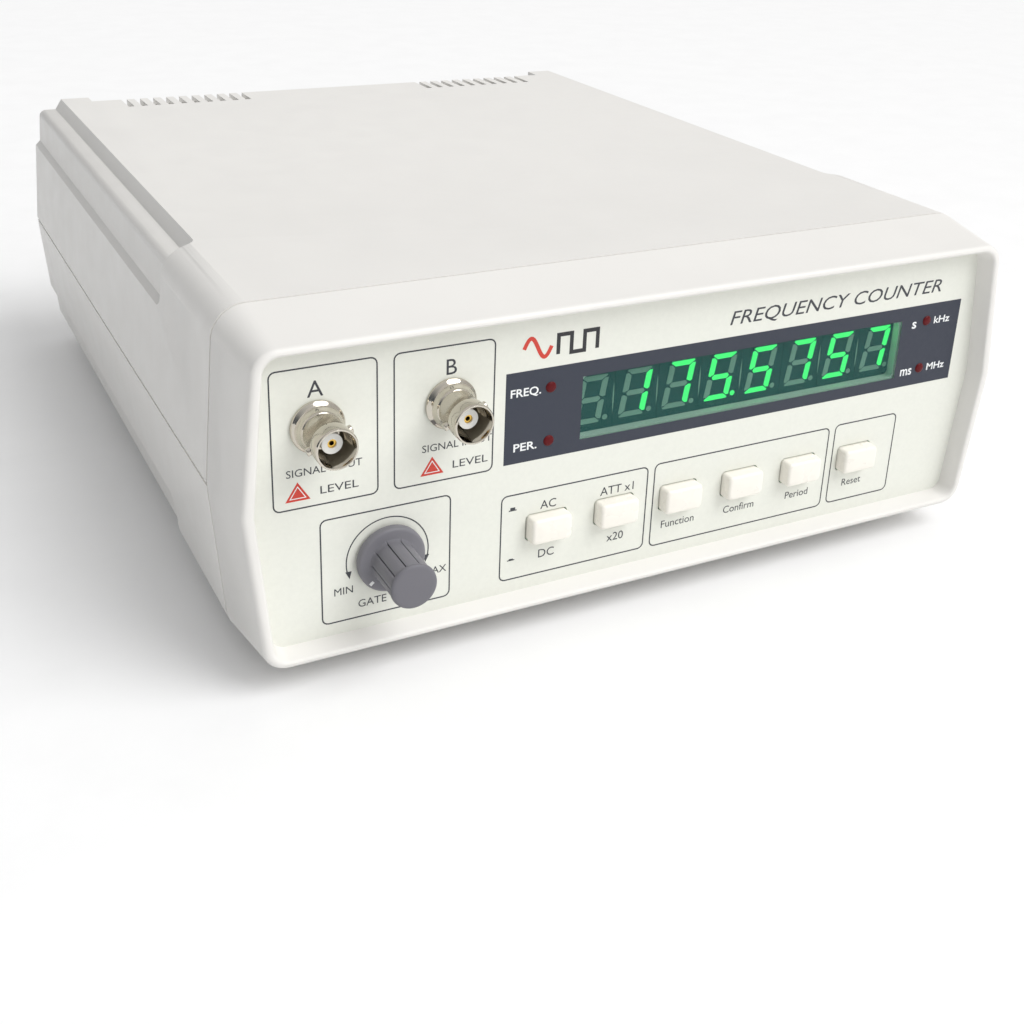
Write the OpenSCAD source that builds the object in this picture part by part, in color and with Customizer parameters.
// Bench frequency counter: a two-part moulded case with a front bezel, a control panel with
// two coaxial inputs, a gate knob, six buttons and an eight-digit display, and its insides.
// +Z is up, the front faces -Y, and the origin is the bottom centre of the whole part's box.

/* [Case] */
// Widest part of the case, at the seam between the covers
case_w = 219; // [216:1:224]
// Height of the case without its feet
case_h = 83; // [82:0.5:86]
// Depth of the case behind the face of the control panel
case_d = 241.5; // [238:0.5:250]
// Wall of the moulded covers
wall = 2.5; // [2.2:0.1:2.8]
// Height of the rubber feet
foot_h = 6; // [5:0.5:9]
// How much narrower each side is at the top and the bottom than at the seam
side_flare = 3.4; // [2.5:0.1:4]
// Radius of the long edges of the covers
corner_r = 8; // [6:0.5:9]
// Depth of the grip recesses in the top and the bottom
band_depth = 3.4; // [2.5:0.1:4]

/* [Bezel] */
// How far the bezel lip stands in front of the control panel
lip_depth = 5; // [4:0.5:6]
// Where the bezel ends and the covers begin, behind the panel face
seam_y = 16; // [15:0.5:18]

/* [Controls] */
// Width of a button cap
cap_w = 11; // [10:0.1:11.4]
// Height of a button cap
cap_h = 6.8; // [6:0.1:7.2]
// How far a button cap stands out of the panel
cap_out = 3.8; // [3.5:0.1:4]
// Distance between neighbouring buttons
button_pitch = 19.25; // [19:0.05:19.4]
// How far the gate knob reaches in front of the panel
knob_reach = 15.7; // [15:0.1:17]
// Diameter of the knob's skirt
skirt_d = 16.6; // [16:0.1:17]

/* [Inputs] */
// Outer diameter of a coaxial socket's barrel
barrel_d = 9.6; // [9.5:0.05:9.7]
// How far a coaxial socket reaches in front of the panel
barrel_reach = 13; // [12.5:0.1:13.5]

/* [Display] */
// Distance between neighbouring digits
digit_pitch = 12.7; // [12.6:0.05:12.7]
// Number of digits
digit_count = 8; // [6:1:8]

/* [Hidden] */
$fn = 48;

eps = 0.1;                             // how far a cut runs past the face that it opens
// The part is drawn with y = 0 at the panel face, then moved so that its box is centred.
panel_y = (knob_reach - case_d) / 2;

// Levels, from the surface that the feet stand on
base_z = foot_h;
top_z = foot_h + case_h;
mid_z = (base_z + top_z) / 2;

// Case outline: half widths at the seam and at the top and bottom
mid_half = case_w / 2;
end_half = mid_half - side_flare;
floor_z = base_z + wall;

// Grip recesses: how far in they reach on the top, and how far down the side
band_x = mid_half - 12.2;
band_drop = 15.5;
band_side = 1.2;                       // their depth in the sides
band_slope = 2.2;                      // width of the slope at their inner edge
band_floor_r = 2.3;
band_front_r = 4.5;
band_y = 60;                           // front end of the recesses
post_chamfer = 1.5;
post_x = 88;                           // inner side of the rear corner posts
post_drop = 13;
post_reach = 7;                        // the posts stand this far behind the rear edge
edge_y = case_d - post_reach;
seam_gap = [0.8, 0.9];                 // depth and height of the shadow gap along the seam
rim_y = [seam_y + 8, edge_y - 12];     // the rim that centres the covers
rim_up = 2.5;
rim_down = 3;
rim_t = 1.3;

// Rear panel
rear_t = 2;
rear_y = edge_y - 6.4;                 // its inner face
rear_out = rear_y + rear_t;
groove = 1.2;

// Bezel lip and panel outline
lip_half = mid_half - 1.85;
lip_end_half = end_half - 2.5;
lip_base_z = base_z + 1.5;
lip_top_z = top_z - 3.5;
lip_r = 6;
lip_round = 1.3;
view_half = mid_half - 5.8;            // visible part of the panel
view_end_half = end_half - 5.8;
view_base_z = base_z + 4.4;
view_top_z = top_z - 6.4;
view_r = 3;
seat = 1.2;                            // how far the panel reaches behind the lip
film_t = 0.3;
plate_t = 2.5;
plate_back = film_t + plate_t;

// Display window and digits
window_x = 27.1;
window_z = mid_z + 9.6;
window_w = 99.2;
window_h = 16.8;
digits_x = 26.6;
module_w = digit_pitch - 0.1;
module_h = 17.5;
module_d = 8;
module_y = plate_back + 0.1;
filter_t = 0.5;
led_d = 2.4;
led_places = [[-31, mid_z + 16.6], [-31, mid_z + 2.7], [85.3, mid_z + 16.9], [85.3, mid_z + 3]];

// Front board, behind the switches and the digits
board_t = 1.6;
front_board_y = 16;
front_board_x = [-46, 94];
front_board_z = [base_z + 7.5, mid_z + 26.5];
boss_places = [[-41.5, mid_z + 21.5], [-41.5, base_z + 12], [89.5, mid_z + 22.5], [89.5, base_z + 12]];

// Buttons, from left to right
button_x0 = -30.5;
button_z = base_z + 21.4;
button_names = ["acdc", "attenuator", "function", "confirm", "period", "reset"];
latching = 2;                          // the first two latch, the rest spring back
cap_round = 1;
cap_gap = 0.3;
cap_flange = 0.8;
cap_skirt_y = plate_back + 0.2;
switch_y = 7.6;
switch_side = 8.4;
plunger_side = 3;
plunger_front = 1.4;                   // the plunger reaches this far into the cap
plunger_end = 12;

// Gate knob and its potentiometer
knob_x = -72.15;
knob_z = base_z + 22.6;
knob_clear = 0.7;                      // gap between the skirt and the panel
knob_cap_t = 1.1;
knob_barrel_d = 10.7;
knob_cap_d = 11.2;
skirt_t = 2.3;
knob_grooves = 10;
shaft_d = 6;
bush_d = 7;
bush_reach = 4;
pot_d = 16.5;
pot_depth = 9;
pot_washer_t = 0.4;
pot_nut_t = 1.5;

// Coaxial sockets
input_x = [-88.6, -56.9];
input_z = mid_z + 17;
barrel_bore = 8.4;
socket_flange_d = 12.5;
socket_thread_d = 9;
socket_tail = 11;
insulator_d = 4.7;
insulator_back = 3.4;                  // its face lies this far behind the mouth
contact_d = 2.1;
lug_d = 2;
lug_span = 11;
lug_back = 5.2;                        // the lugs stand this far behind the mouth
lug_turn = 20;

// Fasteners: thread, hole and head of the M3 screws
m3_d = 2.9;
m3_hole = 3;
m3_head_d = 5.5;
m3_head_t = 2;

// Case screws run up inside tubular bosses
case_boss_x = 90;
case_boss_ys = [32, edge_y - 20];
case_boss_d = 9;
case_boss_bore = 6.2;
case_screw_len = 18;
case_screw_grip = 9.5;                 // from the screw's seat to the seam

// Feet
foot_d = 15;
foot_places = [for (x = [-74, 74], y = [42, edge_y - 34]) [x, y]];
foot_stem_d = 4.8;
foot_stem_h = 4;

// Main board and what stands on it
board_x = [-95, 28];
main_board_y = [45, 195];
standoff_h = 8;
board_z = floor_z + standoff_h;
board_top = board_z + board_t;
standoff_d = 6;
standoff_places = [for (x = [board_x[0] + 5, board_x[1] - 5],
    y = [main_board_y[0] + 5, main_board_y[1] - 5]) [x, y]];
small_chips = [for (i = [0:2], j = [0:1]) [-38 + 22 * i, 72 + 18 * j]];
heat_sink_x = -3;
wire_gap = 0.7;                        // wires end this far from what they are soldered to

// Mains transformer
core_x = 64;
core_y = 170;
core_w = 48;
core_t = 20;
core_h = 40;
core_leg = 16;
core_window = 8;
core_pad = 3;
core_ear = 7.5;
core_ear_t = 2;
core_base_z = floor_z + core_pad;
core_ear_x = (core_w + core_ear) / 2;  // from the core's middle to the screw in each ear

// Mains inlet with a fuse drawer, and the power switch
inlet_x = 62;
inlet_z = mid_z;
inlet_w = 28;
inlet_h = 29;
inlet_depth = 26;
inlet_flange_w = 50;
inlet_flange_h = 32;
inlet_flange_t = 3;
socket_z = inlet_z + 4;
socket_w = 24.5;
socket_h = 16.5;
socket_depth = 17;
drawer_z = inlet_z - 10;
drawer_w = 24;
drawer_h = 6.8;
drawer_gap = 0.3;
drawer_depth = 24;
drawer_plate_t = 1.5;
blades = [[-7, -2], [7, -2], [0, 2]];  // contact blades, from the socket's middle
fuse_d = 5;
fuse_len = 20;
screw_pitch = 40;
rocker_x = 15;
rocker_z = mid_z;
rocker_w = 10;
rocker_r = 8.8;
rocker_gap = 0.25;
rocker_tilt = 12;                      // the rocker rests this far to one side
rocker_pin_d = 3;
rocker_pivot_y = rear_out - 4;
switch_bezel = [16, 24];
switch_box = [13, 20];
switch_depth = 18;

// ---------------------------------------------------------------- helpers

module placed() translate([0, panel_y, 0]) children();

// A flat shape drawn in x and z, filled from y0 to y1
module along_y(y0, y1) translate([0, y1, 0]) rotate([90, 0, 0]) linear_extrude(y1 - y0) children();

// A turned or prismatic piece on a line through the panel: local +z points out to the user
module from_panel(x, z) translate([x, 0, z]) rotate([90, 0, 0]) children();

module bar(x, y, z) translate([x[0], y[0], z[0]]) cube([x[1] - x[0], y[1] - y[0], z[1] - z[0]]);

module rounded(w, h, r) offset(r) square([w - 2 * r, h - 2 * r], center = true);

// Six-sided outline, widest at z_mid, with its four outer corners rounded
module outline(half, end, z_low, z_mid, z_high, r)
    offset(r) offset(delta = -r)
        polygon([[half, z_mid], [end, z_high], [-end, z_high], [-half, z_mid], [-end, z_low],
            [end, z_low]]);

module case_outline(inset = 0)
    offset(delta = -inset) outline(mid_half, end_half, base_z, mid_z, top_z, corner_r);

module lip_outline() outline(lip_half, lip_end_half, lip_base_z, mid_z, lip_top_z, lip_r);

module view_outline(grow = 0)
    offset(delta = grow) outline(view_half, view_end_half, view_base_z, mid_z, view_top_z, view_r);

// Half width of the case where the grip recesses end on its sides
band_half = end_half + side_flare * band_drop / (case_h / 2);

// Four copies of a list of corners, mirrored left to right and top to bottom, in order round the case
function four_ways(corners) = let (last = len(corners) - 1) concat(
    [for (i = [0:last]) [corners[i][0], mid_z + corners[i][1]]],
    [for (i = [0:last]) [-corners[last - i][0], mid_z + corners[last - i][1]]],
    [for (i = [0:last]) [-corners[i][0], mid_z - corners[i][1]]],
    [for (i = [0:last]) [corners[last - i][0], mid_z - corners[last - i][1]]]);

// The case outline where the grip recesses run along its four long edges
module band_outline(inset = 0) offset(delta = -inset) {
    half_h = case_h / 2;
    step = band_side + 1;
    outline(mid_half - band_side, end_half - band_side, base_z + band_depth, mid_z, top_z - band_depth,
        band_floor_r);
    intersection() {
        case_outline();
        union() {
            polygon(four_ways([[band_x + band_slope, half_h - band_depth], [band_x, half_h]]));
            polygon(four_ways([[case_w, half_h - band_drop], [band_half, half_h - band_drop],
                [band_half - step, half_h - band_drop + step]]));
        }
    }
}

// What the grip recesses take out of the case, with rounded front ends
module recesses() intersection() {
    along_y(band_y, case_d + eps) difference() {
        case_outline(-1);
        band_outline();
    }
    for (side = [-1, 1]) translate([side * (band_x + case_d), band_y + case_d, 0])
        linear_extrude(2 * top_z) rounded(2 * case_d, 2 * case_d, band_front_r);
    for (side = [-1, 1]) translate([-case_w, 0, 0]) rotate([90, 0, 90]) linear_extrude(2 * case_w)
        translate([band_y + case_d, mid_z + side * (case_h / 2 - band_drop + case_d)])
            rounded(2 * case_d, 2 * case_d, band_front_r);
}

module hollow() {
    along_y(seam_y - eps, band_y - wall) case_outline(wall);
    along_y(band_y - wall - eps, case_d + eps) band_outline(wall);
    along_y(rear_y - eps, rear_out + eps) band_outline(wall - groove);
}

// Both covers in one piece, before they are parted at the seam
module cover_pair() {
    difference() {
        along_y(seam_y, case_d) case_outline();
        recesses();
        hollow();
        bar([-post_x, post_x], [edge_y, case_d + eps], [base_z - eps, top_z + eps]);
    }
    // Corner posts behind the rear panel, with a chamfer on their inner edges
    difference() {
        intersection() {
            along_y(rear_out + eps, case_d) case_outline();
            for (side = [-1, 1], z = [base_z - eps, top_z - post_drop])
                translate([side > 0 ? post_x : -case_w, rear_out, z])
                    cube([case_w - post_x, case_d, post_drop + eps]);
        }
        recesses();
        along_y(edge_y, case_d + eps) for (side = [-1, 1], z = [base_z, top_z])
            translate([side * post_x, z]) rotate(45) square(post_chamfer * sqrt(2), center = true);
    }
}

// Vent slots at the rear of a cover: two groups that run out at the rear edge
module vent_slots(z_low) {
    slot_w = 2;
    slot_pitch = 4.62;
    slot_x0 = 35.5;
    slots = 10;
    slot_len = 12.4;
    for (side = [-1, 1], i = [0:slots - 1])
        translate([side * (slot_x0 + i * slot_pitch) - slot_w / 2, edge_y - slot_len, z_low])
            cube([slot_w, slot_len + eps, wall + 2 * eps]);
}

function bezier(a, b, c, d, t) =
    a * pow(1 - t, 3) + 3 * b * t * pow(1 - t, 2) + 3 * c * t * t * (1 - t) + d * pow(t, 3);

// A round wire that leaves a towards b and comes to d from c
module wire(a, b, c, d, size, up = [0.3, 0.1, 0.95], rings = 10, sides = 8) {
    path = [for (i = [0:rings]) bezier(a, b, c, d, i / rings)];
    function heading(i) =
        let (v = i == 0 ? b - a : i == rings ? d - c : path[i + 1] - path[i - 1]) v / norm(v);
    function ring(i) =
        let (along = heading(i), u = cross(up, along), side = u / norm(u), over = cross(along, side))
        [for (k = [0:sides - 1]) let (turn = 360 * k / sides)
            path[i] + size / 2 * (cos(turn) * side + sin(turn) * over)];
    points = [for (i = [0:rings]) each ring(i)];
    walls = [for (i = [0:rings - 1], k = [0:sides - 1])
        let (n = (k + 1) % sides, here = i * sides, next = here + sides)
        each [[here + k, next + k, next + n], [here + k, next + n, here + n]]];
    polyhedron(points, concat(walls,
        [[for (k = [0:sides - 1]) k], [for (k = [sides - 1:-1:0]) rings * sides + k]]));
}

// An M3 screw with its head seated at z = 0 and its thread running down
module screw(length) {
    translate([0, 0, -length]) cylinder(d = m3_d, h = length);
    difference() {
        cylinder(d = m3_head_d, h = m3_head_t);
        for (turn = [0, 90]) rotate(turn)
            translate([0, 0, m3_head_t]) cube([3.4, 0.7, m3_head_t], center = true);
    }
}

// ---------------------------------------------------------------- case

module top_cover() color("ivory") placed() {
    difference() {
        cover_pair();
        bar([-case_w, case_w], [-case_d, 2 * case_d], [0, mid_z]);
        vent_slots(top_z - wall - eps);
    }
    for (side = [-1, 1], y = case_boss_ys) translate([side * case_boss_x, y, mid_z]) difference() {
        cylinder(d = case_boss_d, h = case_h / 2 - wall + eps);
        translate([0, 0, -eps]) cylinder(d = m3_hole, h = case_screw_len);
    }
}

// Rim on the inside of one side wall of the bottom cover, which stands up into the top cover
module centring_rim() {
    inner = mid_half - wall;
    lean = 0.35;
    along_y(rim_y[0], rim_y[1]) polygon([[inner + 2 * eps, mid_z - rim_down], [inner + 2 * eps, mid_z],
        [inner - eps, mid_z], [inner - lean, mid_z + rim_up], [inner - rim_t - lean, mid_z + rim_up],
        [inner - rim_t - lean, mid_z - rim_down]]);
}

module bottom_cover() color("ivory") placed() {
    difference() {
        union() {
            difference() {
                cover_pair();
                bar([-case_w, case_w], [-case_d, 2 * case_d], [mid_z, 2 * top_z]);
                for (side = [-1, 1])
                    translate([side > 0 ? mid_half - seam_gap[0] : -case_w, 0, mid_z - seam_gap[1]])
                        cube([case_w - mid_half + seam_gap[0], case_d + eps, 1]);
                vent_slots(base_z - eps);
            }
            centring_rim();
            mirror([1, 0, 0]) centring_rim();
            for (side = [-1, 1], y = case_boss_ys) translate([side * case_boss_x, y, base_z])
                cylinder(d = case_boss_d, h = case_h / 2);
            for (side = [-1, 1]) translate([core_x + side * core_ear_x, core_y, floor_z - eps])
                cylinder(d = 7, h = core_pad + eps);
        }
        for (side = [-1, 1], y = case_boss_ys) translate([side * case_boss_x, y, 0]) {
            cylinder(d = case_boss_bore, h = mid_z - case_screw_grip);
            cylinder(d = m3_hole + 0.3, h = top_z);
        }
        for (spot = foot_places) translate([spot[0], spot[1], 0]) cylinder(d = foot_stem_d, h = top_z);
        for (side = [-1, 1]) translate([core_x + side * core_ear_x, core_y, base_z + 1])
            cylinder(d = m3_hole, h = mid_z);
    }
}

module front_bezel() color("ivory") placed() {
    sliver = 0.01;
    difference() {
        union() {
            hull() {
                along_y(-lip_depth, sliver - lip_depth)
                    offset(delta = -lip_round, $fn = 32) lip_outline($fn = 32);
                along_y(lip_round - lip_depth, lip_round - lip_depth + sliver) lip_outline($fn = 32);
                along_y(seam_y - sliver, seam_y) case_outline($fn = 32);
            }
            // Tongue that locates the covers
            along_y(seam_y - 1, seam_y + 4) case_outline(wall + 0.2, $fn = 32);
        }
        hull() {
            along_y(-lip_depth - eps, -lip_depth) view_outline(1.1, $fn = 32);
            along_y(0, sliver) view_outline($fn = 32);
        }
        along_y(0, seam_y - 1) view_outline(seat, $fn = 32);
        along_y(seam_y - 1 - eps, seam_y + 5) case_outline(wall + 1.7, $fn = 32);
    }
}

// Openings that the panel plate and its film share
module panel_openings() {
    translate([window_x, window_z]) square([window_w, window_h], center = true);
    for (spot = led_places) translate(spot) circle(d = led_d + 0.2);
    for (x = input_x) translate([x, input_z]) circle(d = socket_thread_d + 0.2);
    translate([knob_x, knob_z]) circle(d = bush_d + 0.1);
    for (i = [0:len(button_names) - 1]) translate([button_x0 + i * button_pitch, button_z])
        rounded(cap_w + 2 * cap_gap, cap_h + 2 * cap_gap, cap_round + cap_gap);
}

module front_panel() color("honeydew") placed() {
    along_y(film_t, plate_back) difference() {
        view_outline(seat - 0.1);
        panel_openings();
    }
    for (spot = boss_places) translate([spot[0], 0, spot[1]]) rotate([-90, 0, 0]) difference() {
        translate([0, 0, plate_back - eps]) cylinder(d = 6, h = front_board_y - plate_back + eps);
        translate([0, 0, plate_back + 1]) cylinder(d = m3_hole, h = front_board_y);
    }
}

module panel_overlay() color("mintcream") placed() along_y(0, film_t) difference() {
    view_outline(seat - 0.1);
    panel_openings();
}

module display_filter() color("darkgreen") placed() along_y(0, filter_t)
    translate([window_x, window_z]) square([window_w - 0.1, window_h - 0.1], center = true);

module rear_panel() color("gainsboro") placed() difference() {
    along_y(rear_y + 0.05, rear_out - 0.05) band_outline(wall - groove + 0.2);
    along_y(rear_y - eps, rear_out + eps) {
        translate([inlet_x, inlet_z]) square([inlet_w + 0.2, inlet_h + 0.2], center = true);
        for (side = [-1, 1]) translate([inlet_x + side * screw_pitch / 2, inlet_z]) circle(d = m3_hole + 0.2);
        translate([rocker_x, rocker_z]) square([switch_box[0] + 0.2, switch_box[1] + 0.2], center = true);
    }
}

module rubber_feet() color("dimgray") placed() for (spot = foot_places) translate([spot[0], spot[1], 0]) {
    cylinder(d = foot_d, h = base_z);
    translate([0, 0, base_z - eps]) cylinder(d = foot_stem_d, h = foot_stem_h + eps);
}

module case_screws() color("silver") placed() for (side = [-1, 1], y = case_boss_ys)
    translate([side * case_boss_x, y, mid_z - case_screw_grip]) mirror([0, 0, 1]) screw(case_screw_len);

// ---------------------------------------------------------------- display and front board

module digit_modules() color("darkslategray") placed() for (i = [0:digit_count - 1])
    translate([digits_x + (i - (digit_count - 1) / 2) * digit_pitch, module_y, window_z + 0.2]) {
        translate([-module_w / 2, 0, -module_h / 2]) cube([module_w, module_d, module_h]);
        pin_w = 0.6;
        for (row = [-1, 1], k = [-2:2])
            translate([k * 2.5 - pin_w / 2, module_d - eps, row * 7.6 - pin_w / 2])
                cube([pin_w, front_board_y - module_y - module_d + eps, pin_w]);
    }

module indicator_leds() color("darkred") placed() for (spot = led_places) {
    from_panel(spot[0], spot[1]) {
        translate([0, 0, -module_y]) cylinder(d = led_d, h = module_y - 0.2);
        translate([0, 0, -module_y - 1]) cylinder(d = led_d + 0.8, h = 1 + eps);
    }
    leg = 0.5;
    for (side = [-1, 1]) translate([spot[0] + side * 0.8 - leg / 2, module_y + 1 - eps, spot[1] - leg / 2])
        cube([leg, front_board_y - module_y - 1 + eps, leg]);
}

module front_board() color("seagreen") placed() difference() {
    bar(front_board_x, [front_board_y, front_board_y + board_t], front_board_z);
    for (spot = boss_places) from_panel(spot[0], spot[1])
        translate([0, 0, -2 * front_board_y]) cylinder(d = m3_hole + 0.2, h = front_board_y + 1);
}

module board_screws() color("silver") placed() {
    for (spot = boss_places) translate([spot[0], front_board_y + board_t, spot[1]])
        rotate([-90, 0, 0]) screw(8);
    for (spot = standoff_places) translate([spot[0], spot[1], board_top]) screw(6);
}

module switch_row(first, last) for (i = [first:last]) difference() {
    half = switch_side / 2;
    slide = plunger_side + 0.3;
    x = button_x0 + i * button_pitch;
    bar([x - half, x + half], [switch_y, front_board_y], [button_z - half, button_z + half]);
    bar([x - slide / 2, x + slide / 2], [switch_y - eps, front_board_y - 0.4],
        [button_z - slide / 2, button_z + slide / 2]);
}

module latching_switches() color("black") placed() switch_row(0, latching - 1);
module momentary_switches() color("dimgray") placed() switch_row(latching, len(button_names) - 1);

// Cap number i: a hollow key with a flange behind the panel
module button_cap(i) color("floralwhite") placed() translate([button_x0 + i * button_pitch, 0, button_z])
    difference() {
        union() {
            along_y(0.6 - cap_out, cap_skirt_y + cap_flange) rounded(cap_w, cap_h, cap_round);
            along_y(-cap_out, 0.6 - cap_out + eps) rounded(cap_w - 1, cap_h - 1, cap_round);
            along_y(cap_skirt_y, cap_skirt_y + cap_flange) square([cap_w + 2, cap_h + 1.6], center = true);
        }
        along_y(-plunger_front, cap_skirt_y + 1) square(plunger_side, center = true);
    }

module plunger(i) color("white") placed() translate([button_x0 + i * button_pitch, 0, button_z])
    along_y(-plunger_front, plunger_end) square(plunger_side, center = true);

module acdc_button() button_cap(0);
module attenuator_button() button_cap(1);
module function_button() button_cap(2);
module confirm_button() button_cap(3);
module period_button() button_cap(4);
module reset_button() button_cap(5);
module acdc_plunger() plunger(0);
module attenuator_plunger() plunger(1);
module function_plunger() plunger(2);
module confirm_plunger() plunger(3);
module period_plunger() plunger(4);
module reset_plunger() plunger(5);

// ---------------------------------------------------------------- gate knob

module gate_knob() color("slategray") placed() from_panel(knob_x, knob_z) difference() {
    skirt_top = knob_clear + skirt_t;
    union() {
        translate([0, 0, knob_clear]) cylinder(d = skirt_d, h = skirt_t);
        translate([0, 0, skirt_top - eps])
            cylinder(d = knob_barrel_d, h = knob_reach - knob_cap_t - skirt_top + eps);
    }
    for (i = [0:knob_grooves - 1]) rotate(i * 360 / knob_grooves)
        translate([knob_barrel_d / 2 - 0.5, -0.35, skirt_top]) cube([2, 0.7, knob_reach]);
    cylinder(d = 12.4, h = knob_clear + 1.5);
    cylinder(d = bush_d + 0.6, h = bush_reach + 0.3);
    cylinder(d = shaft_d, h = knob_reach - 2);
}

module knob_cap() color("lightslategray") placed() from_panel(knob_x, knob_z)
    translate([0, 0, knob_reach - knob_cap_t]) {
        cylinder(d = knob_cap_d, h = knob_cap_t - 0.4);
        translate([0, 0, knob_cap_t - 0.4 - eps]) cylinder(d = knob_cap_d - 0.8, h = 0.4 + eps);
    }

module potentiometer_shaft() color("silver") placed() from_panel(knob_x, knob_z)
    translate([0, 0, -8]) cylinder(d = shaft_d, h = 8 + knob_reach - 2);

module potentiometer_body() color("darkgray") placed() from_panel(knob_x, knob_z) difference() {
    union() {
        translate([0, 0, -plate_back - pot_depth]) cylinder(d = pot_d, h = pot_depth);
        translate([0, 0, -plate_back - eps]) cylinder(d = bush_d, h = plate_back + bush_reach + eps);
        for (i = [-1:1]) translate([i * 5 - 0.6, -pot_d / 2 - 6, -plate_back - 6]) cube([1.2, 8, 0.8]);
    }
    translate([0, 0, -8.5]) cylinder(d = shaft_d + 0.1, h = 20);
}

module potentiometer_nut() color("silver") placed() from_panel(knob_x, knob_z) {
    difference() {
        cylinder(d = 11, h = pot_washer_t);
        translate([0, 0, -eps]) cylinder(d = bush_d, h = 1);
    }
    translate([0, 0, pot_washer_t]) difference() {
        cylinder(d = 11.5, h = pot_nut_t, $fn = 6);
        translate([0, 0, -eps]) cylinder(d = bush_d, h = pot_nut_t + 1);
    }
}

// ---------------------------------------------------------------- coaxial inputs

module input_socket(i) color("silver") placed() from_panel(input_x[i], input_z) difference() {
    flange_r = socket_flange_d / 2;
    barrel_r = barrel_d / 2;
    neck_r = barrel_r - 0.3;
    neck_end = barrel_reach - lug_back + lug_d / 2 + 0.2;
    union() {
        // The barrel is a little thinner behind the lugs than in front of them
        rotate_extrude() polygon([[0, -socket_tail], [socket_thread_d / 2, -socket_tail],
            [socket_thread_d / 2, 0], [flange_r, 0], [flange_r, 1], [barrel_r + 0.6, 2], [neck_r, 3.2],
            [neck_r, neck_end], [barrel_r, neck_end + 0.3],
            [barrel_r, barrel_reach - 0.4], [barrel_r - 0.4, barrel_reach], [0, barrel_reach]]);
        rotate(lug_turn) translate([0, 0, barrel_reach - lug_back]) rotate([0, 90, 0])
            cylinder(d = lug_d, h = lug_span, center = true);
    }
    translate([0, 0, 3]) cylinder(d = barrel_bore, h = barrel_reach);
    translate([0, 0, -socket_tail - eps]) cylinder(d = insulator_d, h = 2 * barrel_reach);
}

module input_a_socket() input_socket(0);
module input_b_socket() input_socket(1);

module socket_insulators() color("white") placed() for (x = input_x) from_panel(x, input_z) difference() {
    translate([0, 0, -socket_tail])
        cylinder(d = insulator_d, h = socket_tail + barrel_reach - insulator_back);
    translate([0, 0, -socket_tail - eps]) cylinder(d = contact_d, h = 2 * barrel_reach);
}

module socket_contacts() color("gold") placed() for (x = input_x) from_panel(x, input_z) difference() {
    tail = socket_tail + 3;
    face = barrel_reach - insulator_back - 0.4;
    translate([0, 0, -tail]) cylinder(d = contact_d, h = tail + face);
    translate([0, 0, face - 5.6]) cylinder(d = 1.1, h = 6);
}

module socket_washers() color("silver") placed() for (x = input_x) from_panel(x, input_z)
    translate([0, 0, -plate_back - 0.6]) difference() {
        union() {
            cylinder(d = 14, h = 0.6);
            translate([-2, -13, 0]) cube([4, 8, 0.6]);
        }
        translate([0, 0, -eps]) cylinder(d = socket_thread_d, h = 1);
    }

module socket_nuts() color("silver") placed() for (x = input_x) from_panel(x, input_z)
    translate([0, 0, -plate_back - 0.6 - 2.5]) difference() {
        cylinder(d = 14.4, h = 2.5, $fn = 6);
        translate([0, 0, -eps]) cylinder(d = socket_thread_d, h = 3);
    }

// ---------------------------------------------------------------- main board

module main_board() color("seagreen") placed() difference() {
    bar(board_x, main_board_y, [board_z, board_top]);
    for (spot = standoff_places) translate([spot[0], spot[1], board_z - 1])
        cylinder(d = m3_hole + 0.2, h = 4);
}

module board_standoffs() color("goldenrod") placed() for (spot = standoff_places)
    translate([spot[0], spot[1], floor_z]) difference() {
        cylinder(d = standoff_d / cos(30), h = standoff_h, $fn = 6);
        translate([0, 0, 2]) cylinder(d = m3_hole, h = standoff_h);
    }

module chip(w, d, legs) {
    body_h = 3.6;
    lift = 0.6;
    translate([-w / 2, -d / 2, board_top + lift]) cube([w, d, body_h]);
    for (side = [-1, 1], k = [0:legs - 1])
        translate([(k - (legs - 1) / 2) * 2.54 - 0.3, side * (d / 2 + 0.2) - 0.25, board_top])
            cube([0.6, 0.5, 2.4]);
}

module logic_chips() color("black") placed() {
    translate([-24, 125, 0]) chip(52, 13.8, 20);
    for (spot = small_chips) translate([spot[0], spot[1], 0]) chip(19.4, 6.4, 7);
}

module crystal_oscillator() color("silver") placed() translate([-74, 168, board_top]) {
    linear_extrude(9) rounded(20.4, 12.9, 1.5);
}

module prescaler_shield() color("silver") placed() translate([-72, 78, board_top]) difference() {
    translate([-18, -14, 0]) cube([36, 28, 12]);
    translate([-17.5, -13.5, -eps]) cube([35, 27, 11.6]);
}

module heat_sink() color("dimgray") placed() translate([heat_sink_x, 178, board_top]) {
    translate([-16, 0, 0]) cube([32, 2, 26]);
    for (k = [0:7]) translate([-16 + k * 4.3, 1.9, 0]) cube([1.9, 10, 26]);
}

module voltage_regulator() color("black") placed() for (side = [-1, 1])
    translate([heat_sink_x + 8 * side, 178, board_top]) {
    translate([-5, -4.6, 5]) cube([10, 4.6, 9]);
    translate([-5, -1.3, 13.9]) cube([10, 1.3, 6.5]);
    for (k = [-1:1]) translate([k * 2.54 - 0.4, -3, 0]) cube([0.8, 0.5, 5.1]);
}

module filter_capacitors() color("midnightblue") placed() {
    for (x = [-51, -32]) translate([x, 182, board_top]) cylinder(d = 16, h = 25);
    for (k = [0:2]) translate([22, 62 + 16 * k, board_top]) cylinder(d = 8, h = 12);
}

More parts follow.
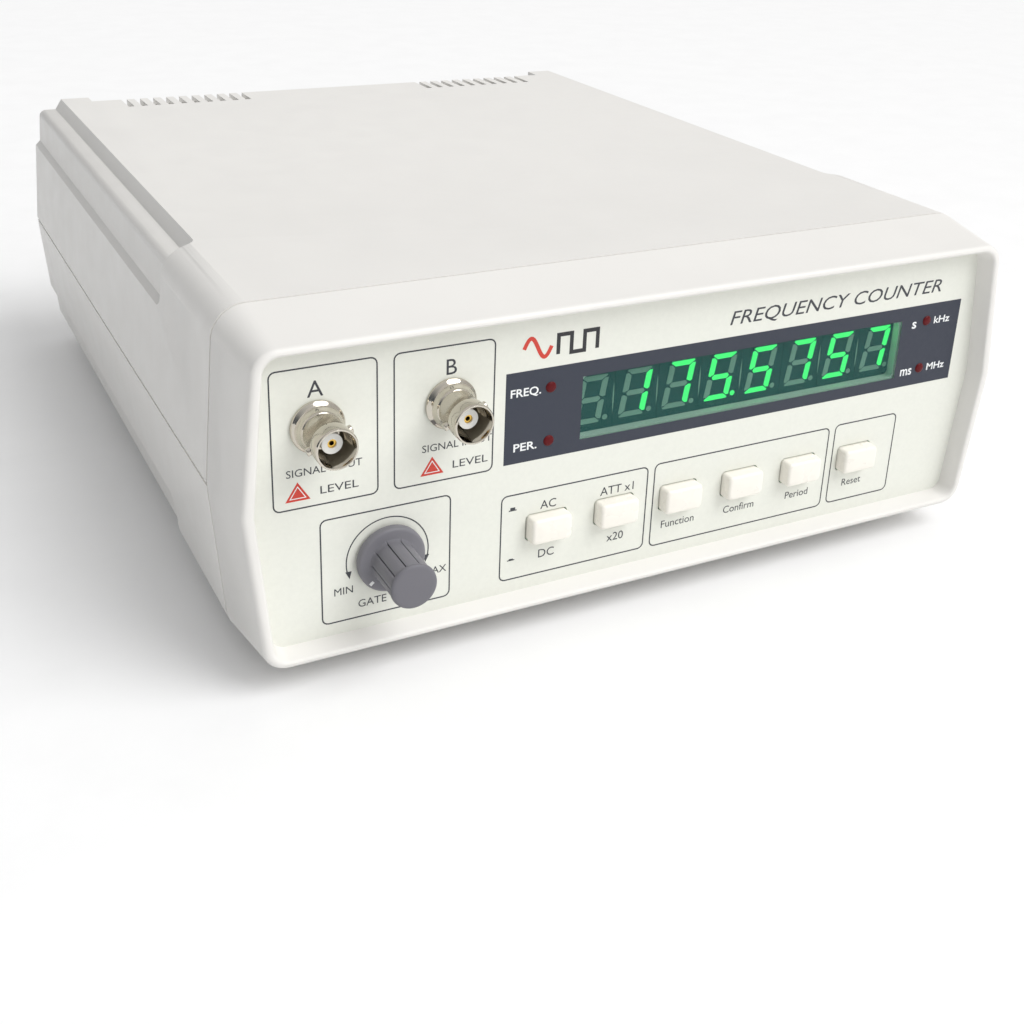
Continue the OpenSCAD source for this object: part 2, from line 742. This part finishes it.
module ribbon_cable() color("lightgray") placed() {
    far = front_board_y + board_t;
    rise = board_top + 6;
    translate([-5, 0, 0]) rotate([90, 0, 90]) linear_extrude(24)
        polygon([[far, rise + 19], [far + 10, rise + 18], [far + 26, rise + 9], [far + 36, rise],
            [far + 36, board_top], [far + 37.2, board_top], [far + 37.2, rise + 0.5],
            [far + 26.8, rise + 10.1], [far + 10.4, rise + 19.2], [far, rise + 20.2]]);
}

module input_cables() color("dimgray") placed() for (i = [0, 1]) {
    start = socket_tail + 3.2;
    landing = [-70 + 10 * i, 58, board_top + wire_gap];
    wire([input_x[i], start, input_z], [input_x[i], start + 8, input_z],
        [landing[0], landing[1], mid_z], landing, 2.8, up = [1, 0, 0]);
}

// ---------------------------------------------------------------- mains parts

module transformer_core() color("dimgray") placed() translate([core_x, core_y, core_base_z]) {
    difference() {
        translate([-core_w / 2, -core_t / 2, 0]) cube([core_w, core_t, core_h]);
        for (side = [-1, 1])
            translate([side * (core_leg + core_window) / 2 - core_window / 2, -core_t, core_window])
                cube([core_window, 2 * core_t, core_h - 2 * core_window]);
    }
    for (side = [-1, 1]) translate([side * core_ear_x, 0, 0]) difference() {
        translate([-core_ear / 2 - eps, -core_t / 2, 0]) cube([core_ear + 2 * eps, core_t, core_ear_t]);
        translate([0, 0, -eps]) cylinder(d = m3_hole + 0.2, h = core_ear_t + 1);
    }
}

module transformer_winding() color("goldenrod") placed()
    translate([core_x, core_y, core_base_z]) difference() {
        reach = core_t / 2 + core_window;
        half = core_leg / 2 + core_window - 0.2;
        translate([-half, -reach, core_window + 0.2])
            cube([2 * half, 2 * reach, core_h - 2 * core_window - 0.4]);
        translate([-core_leg / 2 - 0.2, -core_t / 2 - 0.2, 0])
            cube([core_leg + 0.4, core_t + 0.4, core_h]);
    }

module transformer_screws() color("silver") placed() for (side = [-1, 1])
    translate([core_x + side * core_ear_x, core_y, core_base_z + core_ear_t]) screw(6);

module mains_wires() color("saddlebrown") placed() {
    inlet_back = rear_out - inlet_depth - 4 - wire_gap;
    switch_back = rear_out - switch_depth - wire_gap;
    winding = core_t / 2 + core_window + wire_gap;
    for (k = [0, 1]) {
        at_switch = rocker_x - 4 + 8 * k;
        at_winding = core_x - 4 + 8 * k;
        // Live and neutral go from the inlet to the switch, and from there to the transformer
        wire([inlet_x + blades[k][0], inlet_back, socket_z + blades[k][1]],
            [inlet_x + blades[k][0], inlet_back - 10, mid_z - 4 + 6 * k],
            [at_switch, switch_back - 22, mid_z - 4 + 6 * k],
            [at_switch, switch_back, rocker_z + 5], 2.2);
        wire([at_switch, switch_back, rocker_z - 5],
            [at_switch, switch_back - 18, mid_z - 19 + 10 * k],
            [at_winding, core_y + 28, mid_z - 18 + 10 * k],
            [at_winding, core_y + winding, mid_z - 14 + 5 * k], 2.2);
        // Low voltage goes from the transformer to the board
        wire([at_winding, core_y - winding, mid_z - 18],
            [at_winding, core_y - 36, mid_z - 12],
            [board_x[1] - 6, core_y - 34 - 8 * k, mid_z],
            [board_x[1] - 6, core_y - 34 - 8 * k, board_top + wire_gap], 2.2, up = [1, 1, 1]);
    }
    // Earth goes to the transformer's core
    wire([inlet_x, inlet_back, socket_z + blades[2][1]],
        [inlet_x, inlet_back - 12, socket_z + 6],
        [inlet_x, core_y + 6, core_base_z + core_h + 8],
        [inlet_x, core_y + 4, core_base_z + core_h + wire_gap], 2.2, up = [1, 0, 0]);
}

module mains_inlet() color("black") placed() difference() {
    union() {
        bar([inlet_x - inlet_w / 2, inlet_x + inlet_w / 2], [rear_out - inlet_depth, rear_out + eps],
            [inlet_z - inlet_h / 2, inlet_z + inlet_h / 2]);
        along_y(rear_out, rear_out + inlet_flange_t) translate([inlet_x, inlet_z])
            rounded(inlet_flange_w, inlet_flange_h, 4);
    }
    along_y(rear_out + inlet_flange_t - socket_depth, rear_out + inlet_flange_t + eps)
        translate([inlet_x, socket_z]) difference() {
            square([socket_w, socket_h], center = true);
            for (side = [-1, 1]) translate([side * socket_w / 2, socket_h / 2]) rotate(45)
                square(6, center = true);
        }
    along_y(rear_out + inlet_flange_t - drawer_depth - 1, rear_out + inlet_flange_t + eps)
        translate([inlet_x, drawer_z])
            square([drawer_w + 2 * drawer_gap, drawer_h + 2 * drawer_gap], center = true);
    for (side = [-1, 1]) from_panel(inlet_x + side * screw_pitch / 2, inlet_z)
        translate([0, 0, -case_d]) cylinder(d = m3_hole + 0.2, h = 2 * rear_t + 10);
    // Passages for the three contact blades
    for (pin = blades) bar([inlet_x + pin[0] - 1, inlet_x + pin[0] + 1], [0, case_d],
        [socket_z + pin[1] - 2, socket_z + pin[1] + 2]);
}

module inlet_pins() color("silver") placed() for (pin = blades)
    bar([inlet_x + pin[0] - 1, inlet_x + pin[0] + 1],
        [rear_out - inlet_depth - 4, rear_out + inlet_flange_t - 3],
        [socket_z + pin[1] - 2, socket_z + pin[1] + 2]);

module inlet_screws() color("silver") placed() for (side = [-1, 1])
    translate([inlet_x + side * screw_pitch / 2, rear_out + inlet_flange_t, inlet_z]) {
        rotate([-90, 0, 0]) screw(9);
        translate([0, -inlet_flange_t - rear_t - 2.4, 0]) rotate([-90, 0, 0]) difference() {
            cylinder(d = 6.3, h = 2.4, $fn = 6);
            translate([0, 0, -eps]) cylinder(d = m3_hole, h = 3);
        }
    }

module fuse_drawer() color("dimgray") placed() translate([inlet_x, 0, drawer_z]) difference() {
    face = rear_out + inlet_flange_t;
    union() {
        along_y(face - drawer_depth, face + eps) square([drawer_w, drawer_h], center = true);
        along_y(face + 0.1, face + 0.1 + drawer_plate_t) rounded(drawer_w + 3, drawer_h + 2, 1);
    }
    translate([-fuse_len / 2 - 0.2, face - drawer_depth + 5, 0]) rotate([0, 90, 0])
        cylinder(d = fuse_d, h = fuse_len + 0.4);
    bar([-fuse_len / 2, fuse_len / 2], [face - drawer_depth + 3, face - drawer_depth + 7], [1, drawer_h]);
}

module fuse() color("silver") placed()
    translate([inlet_x - fuse_len / 2, rear_out + inlet_flange_t - drawer_depth + 5, drawer_z])
        rotate([0, 90, 0]) cylinder(d = fuse_d, h = fuse_len);

module power_switch() color("black") placed() difference() {
    union() {
        along_y(rear_out - switch_depth, rear_out + eps) translate([rocker_x, rocker_z])
            square(switch_box, center = true);
        along_y(rear_out, rear_out + 2) translate([rocker_x, rocker_z])
            rounded(switch_bezel[0], switch_bezel[1], 1);
    }
    bar([rocker_x - rocker_w / 2 - rocker_gap, rocker_x + rocker_w / 2 + rocker_gap],
        [rocker_pivot_y - rocker_r - rocker_gap, case_d],
        [rocker_z - rocker_r - rocker_gap, rocker_z + rocker_r + rocker_gap]);
    translate([rocker_x, rocker_pivot_y, rocker_z]) rotate([0, 90, 0])
        cylinder(d = rocker_pin_d + 0.1, h = rocker_w + 2.2, center = true);
}

module power_rocker() color("firebrick") placed() translate([rocker_x, rocker_pivot_y, rocker_z])
    rotate([rocker_tilt, 0, 0]) {
        rotate([90, 0, 90]) linear_extrude(rocker_w, center = true) intersection() {
            circle(r = rocker_r);
            polygon([[-3, -4], [-3, 4], [1.5, rocker_r], [6.4, rocker_r], [4.6, 0], [6.4, -rocker_r],
                [1.5, -rocker_r]]);
        }
        rotate([0, 90, 0]) cylinder(d = rocker_pin_d, h = rocker_w + 2, center = true);
    }

top_cover();
bottom_cover();
front_bezel();
front_panel();
panel_overlay();
display_filter();
rear_panel();
rubber_feet();
case_screws();
digit_modules();
indicator_leds();
front_board();
board_screws();
latching_switches();
momentary_switches();
acdc_button();
attenuator_button();
function_button();
confirm_button();
period_button();
reset_button();
acdc_plunger();
attenuator_plunger();
function_plunger();
confirm_plunger();
period_plunger();
reset_plunger();
gate_knob();
knob_cap();
potentiometer_shaft();
potentiometer_body();
potentiometer_nut();
input_a_socket();
input_b_socket();
socket_insulators();
socket_contacts();
socket_nuts();
socket_washers();
main_board();
board_standoffs();
logic_chips();
crystal_oscillator();
prescaler_shield();
voltage_regulator();
heat_sink();
filter_capacitors();
transformer_core();
transformer_winding();
transformer_screws();
ribbon_cable();
input_cables();
mains_wires();
mains_inlet();
inlet_pins();
inlet_screws();
fuse_drawer();
fuse();
power_switch();
power_rocker();
